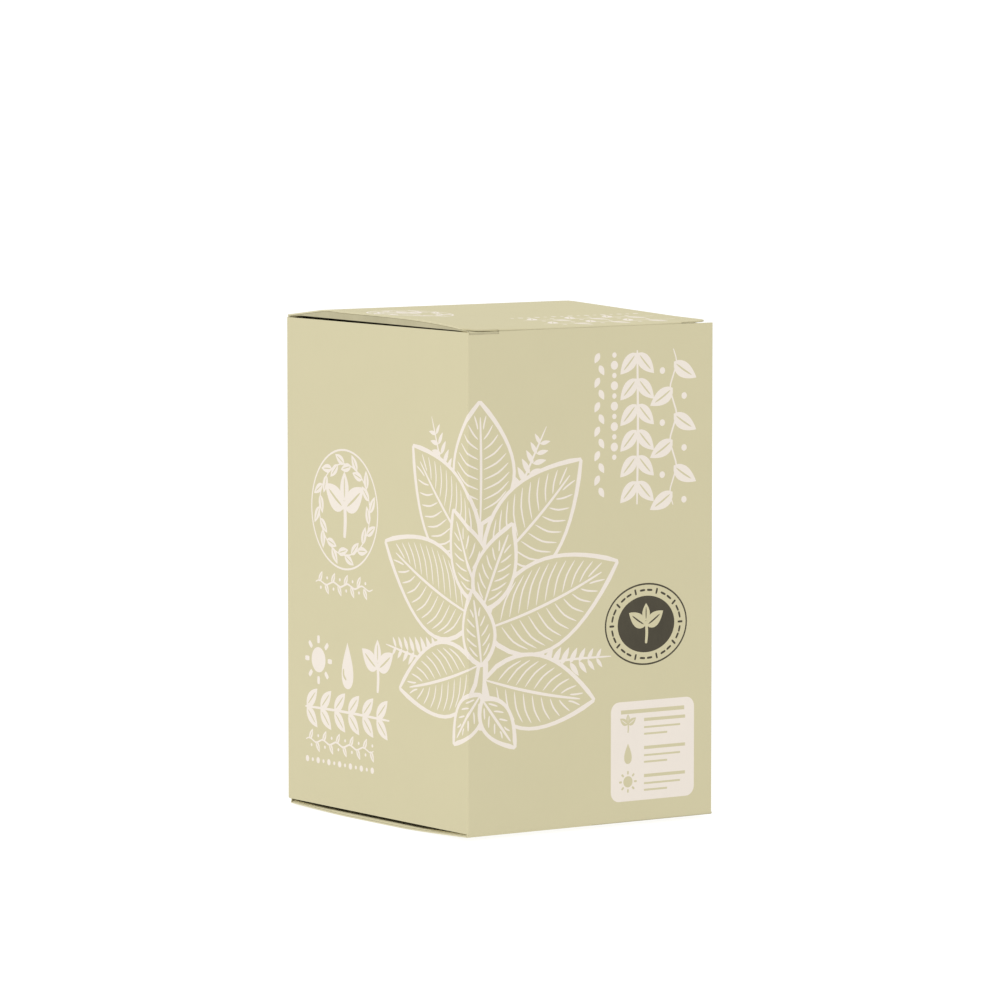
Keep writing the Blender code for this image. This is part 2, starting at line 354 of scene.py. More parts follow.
sleeve = start_piece(
    "carton_sleeve", (0.0, 0.0, (BACK_FOOT + WALL_TOP) / 2),
    (RIGHT_X - LEFT_X, BACK_Y - FRONT_Y, WALL_TOP - BACK_FOOT),
)
drop_faces(lambda face: abs(face.normal.z) > 0.9)
slice_at("z", SEAM_LOW.z, SEAM_HIGH.z)
pick("EDGE", lambda edge: along_z(edge) and middle(edge).x < 0.0 < middle(edge).y)
bpy.ops.mesh.edge_split(type="EDGE")


def free_edge(way):
    """A test for upright cut edges of the wall that faces this way."""
    return lambda edge: (
        along_z(edge) and edge.is_boundary and edge.link_faces[0].normal.dot(Vector(way)) > 0.5
    )


shift("EDGE", free_edge((0, 1, 0)), (SEAM_STEP - GAP, 0.0, 0.0))
shift("EDGE", free_edge((-1, 0, 0)), (0.0, -GAP, 0.0))
extrude((SEAM_STEP, -BOARD, 0.0))
widen(
    lambda edge: along_z(edge) and SEAM_LOW.z < middle(edge).z < SEAM_HIGH.z
    and abs(middle(edge).x - LEFT_X - SEAM_STEP) < TINY,
    (SEAM_HIGH.x - LEFT_X - SEAM_STEP, 0.0, 0.0),
)
bpy.ops.transform.resize(
    value=(1.0, 1.0, SEAM_TAPER), center_override=(0.0, 0.0, (SEAM_LOW.z + SEAM_HIGH.z) / 2)
)
for offset, rear in ((CREASE, False), (REAR_CREASE, True)):
    bevel(
        "EDGE",
        lambda edge: along_z(edge) and edge.is_manifold and edge.calc_face_angle() > 1.0
        and rear == (middle(edge).x < 0.0 < middle(edge).y),
        offset, CREASE_STEPS,
    )
slice_at("z", FRONT_FOOT, SIDE_FOOT, NOTCH_Z, WALL_TOP - RELIEF)
slice_at("x", NOTCH_X)
slice_at("y", RELIEF_Y, BACK_Y - FOOT_CORNER, BACK_Y - 0.8 * FOOT_CORNER)


def cut_off(face):
    """True for the faces that the die cuts off the tube: round its foot, at the notch and the relief."""
    at, way = middle(face), face.normal
    return (
        at.z < FRONT_FOOT and at.y < BACK_Y - TINY
        or at.z < SIDE_FOOT and (abs(way.x) > 0.999 or at.x < LEFT_X + SEAM_STEP - 2 * GAP and at.y > 0.0)
        or at.z > NOTCH_Z and LEFT_X + CREASE < at.x < NOTCH_X and way.y < -0.999
        or at.z > WALL_TOP - RELIEF and at.y < RELIEF_Y and way.x > 0.8
    )


def round_foot(co):
    """Rounds the foot of the left wall up into its rear crease."""
    if co.x > LEFT_X + CREASE + TINY or abs(co.z - SIDE_FOOT) > TINY:
        return 0.0
    along = min(max(co.y - BACK_Y + FOOT_CORNER, 0.0), FOOT_CORNER)
    return FOOT_CORNER - math.sqrt(FOOT_CORNER ** 2 - along ** 2)


drop_faces(cut_off)
lift_points(round_foot)
thicken(sleeve)
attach(sleeve, "carton")
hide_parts("front_panel", "back_panel", "left_panel", "right_panel", "glue_flap")

# Print: off-white line art of a leafy spray turns round the near corner, with small garden marks,
# a dark round seal and a pale label. Every mark is cut into the board's printed face, so its ink
# lies flush, and the whole design comes again on the two far walls.
INK_COLOUR = (0.754, 0.690, 0.618)
SEAL_COLOUR = (0.0600, 0.0528, 0.0368)
BARE, INK, SEAL = 0, 3, 4
LINE = 1.5
THIN_LINE = 0.75
TO_MM = 1000.0

light_ink = board("light_ink", INK_COLOUR, PRINT_COLOUR, mottle=0.02, bump=0.12, roughness=0.80)
seal_ink = board("seal_ink", SEAL_COLOUR, PRINT_COLOUR, mottle=0.03, bump=0.12, roughness=0.72)


def smooth_run(points, steps=5):
    """A smooth run of points through a few given ones."""
    run = []
    for i in range(len(points) - 1):
        before, start, end = points[max(i - 1, 0)], points[i], points[i + 1]
        after = points[min(i + 2, len(points) - 1)]
        for step in range(steps):
            t = step / steps
            run.append(tuple(
                0.5 * (
                    2 * s + (e - b) * t + (2 * b - 5 * s + 4 * e - a) * t * t
                    + (3 * s - b - 3 * e + a) * t ** 3
                )
                for b, s, e, a in zip(before, start, end, after)
            ))
    return run + [tuple(points[-1])]


def stroke(points, width=THIN_LINE, ends=0.35, steps=5, slot=INK):
    """One pen line: a ribbon along a smooth run, thinner towards both ends."""
    run = smooth_run(points, steps)
    sides = ([], [])
    for i, (u, v) in enumerate(run):
        ahead, behind = run[min(i + 1, len(run) - 1)], run[max(i - 1, 0)]
        du, dv = ahead[0] - behind[0], ahead[1] - behind[1]
        long = math.hypot(du, dv)
        half = width / 2 * (ends + (1 - ends) * math.sqrt(math.sin(math.pi * i / (len(run) - 1)) + 1e-9))
        sides[0].append((u + dv / long * half, v - du / long * half))
        sides[1].append((u - dv / long * half, v + du / long * half))
    return [(slot, sides[0] + sides[1][::-1])]


def disc(u, v, radius, high=None, slot=INK, corners=32):
    """A filled circle or ellipse."""
    high = high or radius
    turns = [2 * math.pi * i / corners for i in range(corners)]
    return [(slot, [(u + radius * math.cos(t), v + high * math.sin(t)) for t in turns])]


def ring(u, v, radius, width, high=None, slot=INK, corners=64):
    """A round line: a disc with a smaller one of the ground inside."""
    high = high or radius
    return (
        disc(u, v, radius, high, slot, corners)
        + disc(u, v, radius - width, high - width, BARE, corners)
    )


def placed(marks, u, v, degrees=0.0, size=1.0):
    """Turns, sizes and moves a group of marks."""
    turn = math.radians(degrees)
    cos, sin = size * math.cos(turn), size * math.sin(turn)
    return [
        (slot, [(u + cos * a - sin * b, v + sin * a + cos * b) for a, b in points])
        for slot, points in marks
    ]


def leaf_outline(length, width, bend, grow, steps=14):
    """The outline of a leaf that lies along its first axis and bends to one side."""
    right, left = [], []
    for i in range(steps + 1):
        t = i / steps
        half = max(width / 2 * math.sin(math.pi * t ** 0.8) ** 0.85 + grow, 0.05)
        along = length * t + grow * (2 * t - 1)
        side = bend * length * t * t
        right.append((along, side - half))
        left.append((along, side + half))
    return right + left[::-1]


def line_leaf(length, width, bend, veins):
    """A leaf drawn in outline with a midrib and tapering veins; it hides what is behind it."""
    marks = [
        (INK, leaf_outline(length, width, bend, LINE / 2)),
        (BARE, leaf_outline(length, width, bend, -LINE / 2)),
    ]
    rib = [(length * t, bend * length * t * t) for t in (0.0, 0.3, 0.6, 0.88)]
    marks += stroke(rib, LINE * 0.8, 0.3)
    sag = bend * length
    for i in range(veins):
        root = 0.12 + 0.66 * i / max(veins - 1, 1)
        tip = root + 0.16 - 0.06 * root
        reach = width / 2 * math.sin(math.pi * min(tip, 1.0) ** 0.8) ** 0.85 - 1.6 * LINE
        if reach < 1.5 * LINE:
            continue
        for side in (-1, 1):
            marks += stroke(
                [
                    (length * root, sag * root ** 2 + side * 0.9 * LINE),
                    (length * (0.6 * root + 0.4 * tip), sag * root * tip + side * 0.62 * reach),
                    (length * tip, sag * tip ** 2 + side * reach),
                ],
                LINE * 0.5, 0.25, 3,
            )
    return marks


def solid_leaf(length, width, bend=0.0, slot=INK, rib=BARE):
    """A small filled leaf with its midrib left bare."""
    marks = [(slot, leaf_outline(length, width, bend, 0.0, 10))]
    if rib is not None:
        spine = [(length * t, bend * length * t * t) for t in (0.12, 0.45, 0.8)]
        marks += stroke(spine, 0.09 * width + 0.15, 0.2, 3, rib)
    return marks


def sprout(size=1.0, slot=INK, rib=BARE):
    """Two leaves on a short stem."""
    marks = stroke([(0.0, -7.0), (0.4, -2.0), (0.0, 3.0)], 1.5, 0.7, 4, slot)
    marks += placed(solid_leaf(11.0, 6.4, 0.10, slot, rib), 0.2, 1.0, 28)
    marks += placed(solid_leaf(11.0, 6.4, -0.10, slot, rib), -0.2, 1.0, 152)
    marks += placed(solid_leaf(8.0, 4.2, 0.0, slot, rib), 0.0, 3.0, 90)
    return placed(marks, 0.0, 0.0, 0.0, size)


def sun(radius, slot=INK):
    """A disc with eight short rays."""
    marks = disc(0.0, 0.0, 0.52 * radius, slot=slot, corners=24)
    for i in range(8):
        ray = stroke([(share * radius, 0.0) for share in (0.68, 0.84, 1.0)], 0.2 * radius, 0.7, 2, slot)
        marks += placed(ray, 0.0, 0.0, 45.0 * i)
    return marks


def drop(size, slot=INK):
    """A drop of water with a bare highlight."""
    outline = []
    for i in range(28):
        turn = 2 * math.pi * i / 28
        pinch = math.sin(turn / 2) ** 1.3
        outline.append((-0.62 * size * math.sin(turn) * pinch, size * math.cos(turn)))
    marks = [(slot, outline)]
    light = [(-0.30 * size, -0.15 * size), (-0.30 * size, -0.42 * size), (-0.10 * size, -0.62 * size)]
    return marks + stroke(light, 0.12 * size, 0.5, 3, BARE)


def garland(length, wave, leaf, width, step):
    """A waving stem with small filled leaves on both sides in turn, along the first axis."""
    count = int(length / step)
    stem = [(length * i / (2 * count), wave * math.sin(math.pi * i / 2)) for i in range(2 * count + 1)]
    marks = stroke(stem, 0.8, 0.5, 3)
    for i in range(count):
        side = 1 if i % 2 == 0 else -1
        u = step * (i + 0.5)
        marks += placed(solid_leaf(leaf, width, 0.12 * side), u, side * 0.3, side * 52)
        marks += disc(u + 0.32 * step, side * -0.42 * leaf, 0.17 * width + 0.25, corners=12)
    return marks


def wreath(radius, leaves, leaf, width):
    """A ring of small leaves that all lean the same way."""
    marks = ring(0.0, 0.0, radius + 0.3, 0.6)
    for i in range(leaves):
        turn = 360.0 * i / leaves
        u, v = radius * math.cos(math.radians(turn)), radius * math.sin(math.radians(turn))
        marks += placed(solid_leaf(leaf, width), u, v, turn + (118 if i % 2 else 62))
    return marks


def laurel(length, pairs, leaf, width):
    """A straight stem with pairs of bold filled leaves, along the first axis."""
    marks = stroke([(0.0, 0.0), (length / 2, 0.4), (length, 0.0)], 1.1, 0.6)
    for i in range(pairs):
        u = length * (i + 0.1) / pairs
        for side in (-1, 1):
            marks += placed(solid_leaf(leaf, width, 0.06 * side), u, side * 0.4, side * 40)
    return marks


def fern(length, pairs, leaf):
    """A thin frond with pairs of tapering leaflets, along the first axis."""
    marks = stroke([(0.0, 0.0), (length * 0.5, length * 0.03), (length, 0.0)], 1.0, 0.3)
    for i in range(pairs):
        t = 0.16 + 0.78 * i / pairs
        reach = leaf * (1.0 - 0.72 * t)
        for side in (-1, 1):
            marks += placed(solid_leaf(reach, 0.34 * reach, 0.0, INK, None), length * t, 0.0, side * 56)
    return marks


def spray():
    """The large motif round the near corner: broad leaves on one stem, drawn from the back forward."""
    high, low = fern(54.0, 10, 13.0), fern(50.0, 9, 12.0)
    marks = placed(high, -3.0, 118.0, 114) + placed(high, 16.0, 114.0, 66)
    marks += placed(low, -8.0, 70.0, 176) + placed(low, 20.0, 66.0, 4)
    marks += stroke([(6.0, 44.0), (8.5, 70.0), (5.0, 100.0), (7.0, 132.0)], 2.6, 0.6)
    for u, v, degrees, length, width, bend, veins in (
        (6.0, 126.0, 88, 48.0, 32.0, 0.04, 9),
        (5.0, 112.0, 142, 60.0, 34.0, -0.12, 10),
        (8.0, 106.0, 36, 63.0, 35.0, 0.12, 10),
        (4.0, 90.0, 166, 66.0, 36.0, -0.14, 11),
        (8.0, 84.0, 12, 68.0, 36.0, 0.14, 11),
        (5.0, 70.0, 200, 54.0, 30.0, -0.10, 9),
        (8.0, 64.0, -18, 54.0, 30.0, 0.10, 9),
        (6.0, 58.0, 232, 25.0, 14.0, 0.0, 5),
        (7.0, 56.0, -52, 25.0, 14.0, 0.0, 5),
        (5.5, 96.0, 110, 38.0, 20.0, 0.06, 7),
        (7.0, 92.0, 70, 36.0, 19.0, -0.06, 7),
        (6.5, 70.0, 96, 30.0, 16.0, 0.04, 6),
    ):
        marks += placed(line_leaf(length, width, bend, veins), u, v, degrees)
    return marks


def round_seal(u, v, wide, high):
    """The dark seal: a rim of short dashes round a dark disc with a bare sprout."""
    marks = ring(u, v, wide, 0.7, high, SEAL, 72)
    for i in range(30):
        turn = 2 * math.pi * i / 30
        dash = [(-1.3, 0.0), (0.0, 0.0), (1.3, 0.0)] if i % 3 else [(0.0, -1.2), (0.0, 0.0), (0.0, 1.2)]
        across, up = wide * math.cos(turn), high * math.sin(turn)
        angle = math.degrees(math.atan2(high * math.cos(turn), -wide * math.sin(turn)))
        marks += placed(stroke(dash, 0.9, 0.7, 2, SEAL), u + 0.83 * across, v + 0.83 * up, angle)
    marks += disc(u, v, 0.69 * wide, 0.69 * high, SEAL, 64)
    marks += placed(sprout(0.9, BARE, SEAL), u, v - 1.5)
    return marks


def rounded_label(left, foot, right, top, corner):
    """The pale label: a round-cornered panel with three small pictures and ruled lines."""
    outline = []
    for u, v, start in (
        (right - corner, top - corner, 0), (left + corner, top - corner, 90),
        (left + corner, foot + corner, 180), (right - corner, foot + corner, 270),
    ):
        for i in range(7):
            turn = math.radians(start + 15 * i)
            outline.append((u + corner * math.cos(turn), v + corner * math.sin(turn)))
    marks = [(INK, outline)]
    rows = [foot + 7.6, foot + 19.0, foot + 30.4]
    for v, picture in zip(rows, (sun(4.4, BARE), drop(4.2, BARE), sprout(0.42, BARE, INK))):
        marks += placed(picture, left + 8.5, v + 0.3)
        for rise, reach in ((2.2, 0.0), (-0.9, 2.5), (-3.6, 9.0)):
            stops = left + 16.5, (left + right) / 2 + 4, right - 4.5 - reach
            marks += stroke([(u, v + rise) for u in stops], 1.3 if rise > 0 else 0.8, 1.0, 2, BARE)
    stops = left + 5.0, (left + right) / 2, right - 5.0
    return marks + stroke([(u, top - 4.2) for u in stops], 1.6, 1.0, 2, BARE)


def wall_design():
    """The marks of a left wall and the front wall beside it, in mm from the near corner."""
    marks = spray()
    marks += ring(-88.0, 125.6, 24.7, 0.8)
    marks += placed(wreath(18.6, 24, 7.6, 3.6), -88.0, 125.6)
    marks += placed(sprout(1.5), -88.0, 124.6)
    marks += placed(garland(42.0, 0.8, 5.0, 2.5, 4.7), -109.5, 94.6)
    marks += placed(sun(10.0), -107.5, 62.5) + placed(drop(9.6), -86.0, 62.0)
    marks += placed(sprout(1.2), -64.0, 61.5)
    marks += placed(laurel(62.0, 6, 11.0, 5.6), -117.5, 42.5)
    marks += placed(garland(50.0, 0.8, 5.0, 2.5, 5.0), -117.0, 29.0)
    for i in range(13):
        marks += disc(-116.0 + 4.0 * i, 21.0, 0.8 if i % 2 else 1.3, corners=12)
    marks += placed(garland(63.0, 1.6, 13.0, 6.6, 10.5), 100.5, 192.0, -90)
    marks += placed(laurel(62.0, 6, 11.5, 6.0), 82.5, 192.0, -90)
    for i in range(11):
        marks += disc(71.2, 190.5 - 4.1 * i, 1.8 if i % 2 else 1.1, corners=14)
    for i in range(12):
        lean = -60 if i % 2 else -120
        marks += placed(solid_leaf(4.6, 2.6, 0.0, INK, None), 63.8, 191.5 - 4.9 * i, lean)
    marks += round_seal(87.15, 81.4, 20.5, 16.6)
    marks += rounded_label(69.75, 10.1, 111.35, 50.5, 4.0)
    return marks


def print_marks(piece, covers, unroll, marks):
    """Cuts marks into the printed faces that are covered, and gives each its own ink."""
    shell = bmesh.new()
    shell.from_mesh(piece.data)
    ground = [f for f in shell.faces if f.material_index == 0 and covers(f)]
    corners = list({vert: None for face in ground for vert in face.verts})
    order = {vert: i for i, vert in enumerate(corners)}
    lay_flat, fold_back = unroll(corners)
    flat = [Vector(lay_flat(vert.co)) * TO_MM for vert in corners]
    outlines = [[order[vert] for vert in face.verts] for face in ground]
    for _, points in marks:
        outlines.append(list(range(len(flat), len(flat) + len(points))))
        flat += [Vector(point) for point in points]
    places, _, faces, sources, _, owners = delaunay_2d_cdt(flat, [], outlines, 1, 2e-3, True)
    bmesh.ops.delete(shell, geom=ground, context="FACES_ONLY")
    verts = []
    for place, source in zip(places, sources):
        old = [i for i in source if i < len(corners)]
        verts.append(corners[old[0]] if old else shell.verts.new(fold_back(*(place / TO_MM))))
    for face, owner in zip(faces, owners):
        if min(owner, default=len(ground)) >= len(ground):
            continue
        made = shell.faces.new([verts[i] for i in face])
        mark = max(owner) - len(ground)
        made.material_index = marks[mark][0] if mark >= 0 else BARE
    bmesh.ops.delete(shell, geom=[e for e in shell.edges if not e.link_faces], context="EDGES")
    bmesh.ops.delete(shell, geom=[v for v in shell.verts if not v.link_edges], context="VERTS")
    shell.to_mesh(piece.data)
    shell.free()


def walls_at(side):
    """A test for the faces of two neighbouring walls and of the crease between them."""
    def covers(face):
        at = side * face.calc_center_median()
        on_wall = at.x > RIGHT_X - TINY or at.y > BACK_Y - TINY
        return on_wall or at.x + at.y > RIGHT_X + BACK_Y - 1.5 * CREASE
    return covers


def walls_unrolled(side):
    """Unrolls two neighbouring walls, with lengths measured from the corner between them."""
    def unroll(corners):
        columns = sorted(
            {(round(vert.co.x, 6), round(vert.co.y, 6)) for vert in corners},
            key=lambda column: side * (column[1] - column[0]),
        )
        along = [0.0]
        for a, b in zip(columns, columns[1:]):
            along.append(along[-1] + math.dist(a, b))
        first = next(i for i, column in enumerate(columns) if side * column[1] > BACK_Y - TINY)
        zero = along[first] - abs(columns[first][0] - side * RIGHT_X)
        along = [length - zero for length in along]
        places = dict(zip(columns, along))

        def lay_flat(co):
            return places[round(co.x, 6), round(co.y, 6)], co.z

        def fold_back(u, v):
            i = min(max(bisect.bisect(along, u) - 1, 0), len(along) - 2)
            share = (u - along[i]) / (along[i + 1] - along[i])
            x, y = (a + (b - a) * share for a, b in zip(columns[i], columns[i + 1]))
            return x, y, v
        return lay_flat, fold_back
    return unroll


for finish in (light_ink, seal_ink):
    sleeve.data.materials.append(finish)
for side in (-1, 1):
    print_marks(sleeve, walls_at(side), walls_unrolled(side), wall_design())

# Lid: one sheet with its tuck flap, bowed up from the front fold to a low ridge near the hinge.
# Slits at both ends of the front fold let the tuck flap slide behind the front wall.
# Its left margin is pushed up by the springy dust flap below.
LID_LOW, LID_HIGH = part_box("lid_panel")
TUCK_LOW, TUCK_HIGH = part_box("tuck_flap")
LID_FRONT_HEIGHT = 0.0005
LID_BACK_HEIGHT = 0.0010
LID_RISE = 0.041
LID_FALL = 0.120
CREST_SOFTNESS = 0.0003
LEFT_LIFT = 0.0016
LEFT_LIFT_FRONT = -0.068
LEFT_LIFT_LENGTH = 0.092
LEFT_LIFT_SKEW = 0.68
LEFT_LIFT_REACH = 0.045
RIGHT_CURL = 0.0004
RIGHT_CURL_REACH = 0.024
LID_CORNER = 0.0065
TUCK_CORNER = 0.006
TUCK_LEAN = 0.0013
HINGE_FOLD = 0.0008
FOLD = 0.0007
LID_COLUMNS = (-0.034, -0.026, -0.017, -0.006, 0.006, 0.020, 0.034)
LIFT_COLUMN = -0.0525
LID_ROWS = [LID_LOW.y + LID_CORNER + 0.0046 * i for i in range(1, 22)]
CREST_ROWS = [0.0385 + 0.0014 * i for i in range(1, 18)]


def left_lift(x, y):
    """How far the sprung left dust flap pushes the lid's left margin up."""
    along = (y - LEFT_LIFT_FRONT) / LEFT_LIFT_LENGTH
    if not 0.0 < along < 1.0:
        return 0.0
    across = min(max((LID_LOW.x + LEFT_LIFT_REACH - x) / LEFT_LIFT_REACH, 0.0), 1.0)
    push = LEFT_LIFT * math.sin(math.pi * along ** LEFT_LIFT_SKEW)
    return push * across * across * (3.0 - 2.0 * across)


def right_curl(x, y):
    """How far the lid's loose front right corner stands up."""
    across = min(max((x - LID_HIGH.x + RIGHT_CURL_REACH) / RIGHT_CURL_REACH, 0.0), 1.0)
    along = min(max((LID_LOW.y + RIGHT_CURL_REACH - y) / RIGHT_CURL_REACH, 0.0), 1.0)
    return RIGHT_CURL * across * across * (3.0 - 2.0 * across) * along


def lid_top(x, y):
    """Height of the lid's printed face."""
    rise = LID_FRONT_HEIGHT + LID_RISE * (y - LID_LOW.y)
    fall = LID_BACK_HEIGHT + LID_FALL * (LID_HIGH.y - y)
    soft = CREST_SOFTNESS * math.log(1.0 + math.exp(-abs(rise - fall) / CREST_SOFTNESS))
    return WALL_TOP + min(rise, fall) - soft + left_lift(x, y) + right_curl(x, y)


lid_back = LID_HIGH.y - HINGE_FOLD
lid = flat_sheet("tuck_lid", LID_LOW.x, LID_HIGH.x, LID_LOW.y, lid_back)
bevel("VERT", lambda vert: vert.co.y < 0.0, LID_CORNER, 8)
slice_at("x", TUCK_LOW.x, *LID_COLUMNS, TUCK_HIGH.x, LIFT_COLUMN)
slice_at("y", *LID_ROWS, *CREST_ROWS)
widen(
    lambda edge: edges_at("y", LID_LOW.y)(edge) and abs(middle(edge).x) < TUCK_HIGH.x,
    (0.0, TUCK_LEAN, TUCK_LOW.z - TUCK_HIGH.z),
)
bevel("VERT", lambda vert: vert.co.z < -TINY and abs(vert.co.x) > TUCK_HIGH.x - TINY, TUCK_CORNER, 6)
bevel("EDGE", lambda edge: edge.is_manifold and edges_at("y", LID_LOW.y)(edge), FOLD, 4)
lift_points(lambda co: lid_top(co.x, co.y if co.z > -TINY else LID_LOW.y))
thicken(lid, (*BOARD_FINISHES, light_ink, seal_ink))


def lid_design():
    """The lid's marks, in mm from its middle: a ring with a sprout, two garlands and dots."""
    marks = ring(-41.0, 3.5, 17.8, 0.8)
    marks += placed(wreath(13.0, 18, 6.4, 2.9), -41.0, 3.5)
    marks += placed(sprout(0.95), -41.0, 3.0)
    for v in (-36.0, -50.5):
        marks += placed(garland(65.0, 1.0, 9.0, 4.4, 9.3), -13.0, v)
    for i in range(16):
        marks += disc(-11.0 + 4.1 * i, -25.5, 1.2 if i % 2 else 0.8, corners=12)
    return marks


def lid_unrolled(corners):
    """The lid's face as seen from above."""
    return lambda co: (co.x, co.y), lambda u, v: (u, v, lid_top(u, v))


print_marks(lid, lambda face: face.normal.z > 0.9, lid_unrolled, lid_design())
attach(lid, "lid")
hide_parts("lid_panel", "tuck_flap")

# Hinge crease: the strip of the same board that turns from the back wall's top into the lid.
# It is scored, so it bends tightly.
HINGE_COLUMNS = 12
HINGE_ROUND = 0.9 * HINGE_FOLD
hinge = flat_sheet("lid_hinge_crease", LEFT_X + CREASE, RIGHT_X - CREASE, lid_back, BACK_Y)
hinge_rise = lid_top(0.0, lid_back) - WALL_TOP
widen(edges_at("y", BACK_Y), (0.0, 0.0, -hinge_rise))
bevel("EDGE", lambda edge: edge.is_manifold, HINGE_ROUND, 5)
slice_at("x", *between(LEFT_X, RIGHT_X, HINGE_COLUMNS))
lift_points(lambda co: WALL_TOP + hinge_rise)
thicken(hinge)
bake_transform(hinge)

# Dust flaps: one folds in from each side wall under the lid, on a fold that is slit along its middle.
# The fold's outer roll shows as a band below the lid, painted a darker board colour as shade under the
# lid.
# The left flap's shoulder reaches forward into the front wall's notch and locks behind the lid's front
# corner.
DUST_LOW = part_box("left_dust_flap")[0]
DUST_INNER_X = 0.018
DUST_SHOULDER_X = 0.04528
DUST_BACK_X = 0.040
LEFT_FRONT_Y, LEFT_NECK_Y, LEFT_SHOULDER_Y = -0.048, -0.058, -0.0615
RIGHT_FRONT_Y = -0.038
DUST_BACK_Y, DUST_END_Y = 0.048, 0.060
NECK_SLOPE = 0.002
FLAP_ROWS = [-0.0560 + 0.0043 * i for i in range(27)]
FLAP_COLUMNS = (0.026, 0.034, 0.044, 0.052, 0.057)
DUST_DROP = 0.00008
ROOT_OUT = 0.00085
ROOT_ROLL = 0.00015
ROOT_DEPTH = 0.0020
SLOT_HIGH = 0.0011
RIGHT_SLOT = 0.4 * SLOT_HIGH
FRONT_SLOT = 0.00045
BRIDGE = 0.0011
FRONT_BRIDGE = 0.0004
LIP_DEPTH = 0.0011
LIP_OUT = 0.00008
LIP_DROP = 0.00030
SHADE_SLOT = 3


def paint_fold_shade(piece, side):
    """Paints the outer side of a flap's folds and the shoulder's front lip a darker board colour, as
    painted shade under the lid.
    """
    piece.data.materials.append(painted_shade_fold)
    for face in piece.data.polygons:
        root = side * face.normal.x > 0.6 and side * face.center.x > side * RIGHT_X - 2 * ROOT_OUT
        lip = face.normal.y < -0.6 and face.center.y < FRONT_Y + BOARD
        if root or lip:
            face.material_index = SHADE_SLOT


def taper_end(y, new_y, inner_x, new_inner_x):
    """Lengthens a flap at one end, with its inner corner drawn in."""
    widen(
        edges_at("y", y), (0.0, new_y - y, 0.0),
        lambda vert: abs(vert.co.y - new_y) < TINY and abs(vert.co.x - inner_x) < TINY,
        (new_inner_x - inner_x, 0.0, 0.0),
    )


def rolled_root(side, outer_x):
    """Turns a flap's outer edge over into the roll that hangs on the wall below."""
    widen(edges_at("x", outer_x), (side * ROOT_OUT, 0.0, 0.0))
    edge_x = outer_x + side * ROOT_OUT
    widen(
        lambda edge: edges_at("y", DUST_END_Y)(edge) and side * middle(edge).x > side * outer_x,
        (0.0, BACK_Y - 2 * BOARD - DUST_END_Y, 0.0),
    )
    widen(edges_at("x", edge_x), (0.0, 0.0, -ROOT_DEPTH))
    bevel(
        "EDGE",
        lambda edge: edge.is_manifold and edges_at("x", edge_x)(edge) and edges_at("z", 0.0)(edge),
        ROOT_ROLL, 2,
    )


def hang_flap(root_x, front_y, slot_high, front_slot=GAP, front_bridge=BRIDGE):
    """Lays a flap just under the lid and sets its root on the wall's top, slit but for its ends."""
    back_y = BACK_Y - 2 * BOARD

    def height(co):
        under = lid_top(co.x, co.y) - BOARD - DUST_DROP
        if abs(co.x) < root_x + TINY:
            if co.z < -TINY:
                return NOTCH_Z + 0.1 * GAP - co.z
            return under - LIP_DROP * (co.y < FRONT_Y + 2 * BOARD)
        top = max(under, WALL_TOP + front_slot + 2 * GAP)
        if co.z > 0.5 * -ROOT_DEPTH:
            return top
        ends = co.y < front_y + front_bridge or co.y > back_y - BRIDGE
        slot = front_slot + (slot_high - front_slot) * (co.y - front_y) / (back_y - front_y)
        return (WALL_TOP + GAP if ends else min(WALL_TOP + slot, top - 2 * GAP)) - co.z
    for y in (front_y + front_bridge, back_y - BRIDGE):
        slice_at("y", y - GAP, y + GAP)
    slice_at("y", *FLAP_ROWS)
    for x in FLAP_COLUMNS:
        slice_at("x", x, -x)
    lift_points(height)


left_dust = flat_sheet("left_dust_flap_board", DUST_LOW.x, -DUST_INNER_X, LEFT_FRONT_Y, DUST_BACK_Y)
taper_end(LEFT_FRONT_Y, LEFT_NECK_Y, -DUST_INNER_X, NECK_SLOPE - DUST_SHOULDER_X)
taper_end(LEFT_NECK_Y, LEFT_SHOULDER_Y, NECK_SLOPE - DUST_SHOULDER_X, -DUST_SHOULDER_X)
taper_end(LEFT_SHOULDER_Y, DUST_LOW.y - LIP_OUT, -DUST_SHOULDER_X, -DUST_SHOULDER_X)
taper_end(DUST_BACK_Y, DUST_END_Y, -DUST_INNER_X, -DUST_BACK_X)
rolled_root(-1, DUST_LOW.x)
widen(
    lambda edge: edges_at("y", DUST_LOW.y - LIP_OUT)(edge)
    and middle(edge).x > DUST_LOW.x and middle(edge).z > -TINY,
    (0.0, 0.0, -LIP_DEPTH),
)
hang_flap(-DUST_LOW.x, DUST_LOW.y, SLOT_HIGH, FRONT_SLOT, FRONT_BRIDGE)
thicken(left_dust)
paint_fold_shade(left_dust, -1)
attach(left_dust, "carton")
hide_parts("left_dust_flap")

right_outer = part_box("right_dust_flap")[1].x
right_dust = flat_sheet("right_dust_flap_board", right_outer, DUST_INNER_X, RIGHT_FRONT_Y, DUST_BACK_Y)
taper_end(RIGHT_FRONT_Y, RELIEF_Y + BOARD, DUST_INNER_X, DUST_BACK_X)
taper_end(DUST_BACK_Y, DUST_END_Y, DUST_INNER_X, DUST_BACK_X)
rolled_root(1, right_outer)
hang_flap(right_outer, RELIEF_Y + BOARD, RIGHT_SLOT)
thicken(right_dust)
paint_fold_shade(right_dust, 1)
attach(right_dust, "carton")
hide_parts("right_dust_flap")

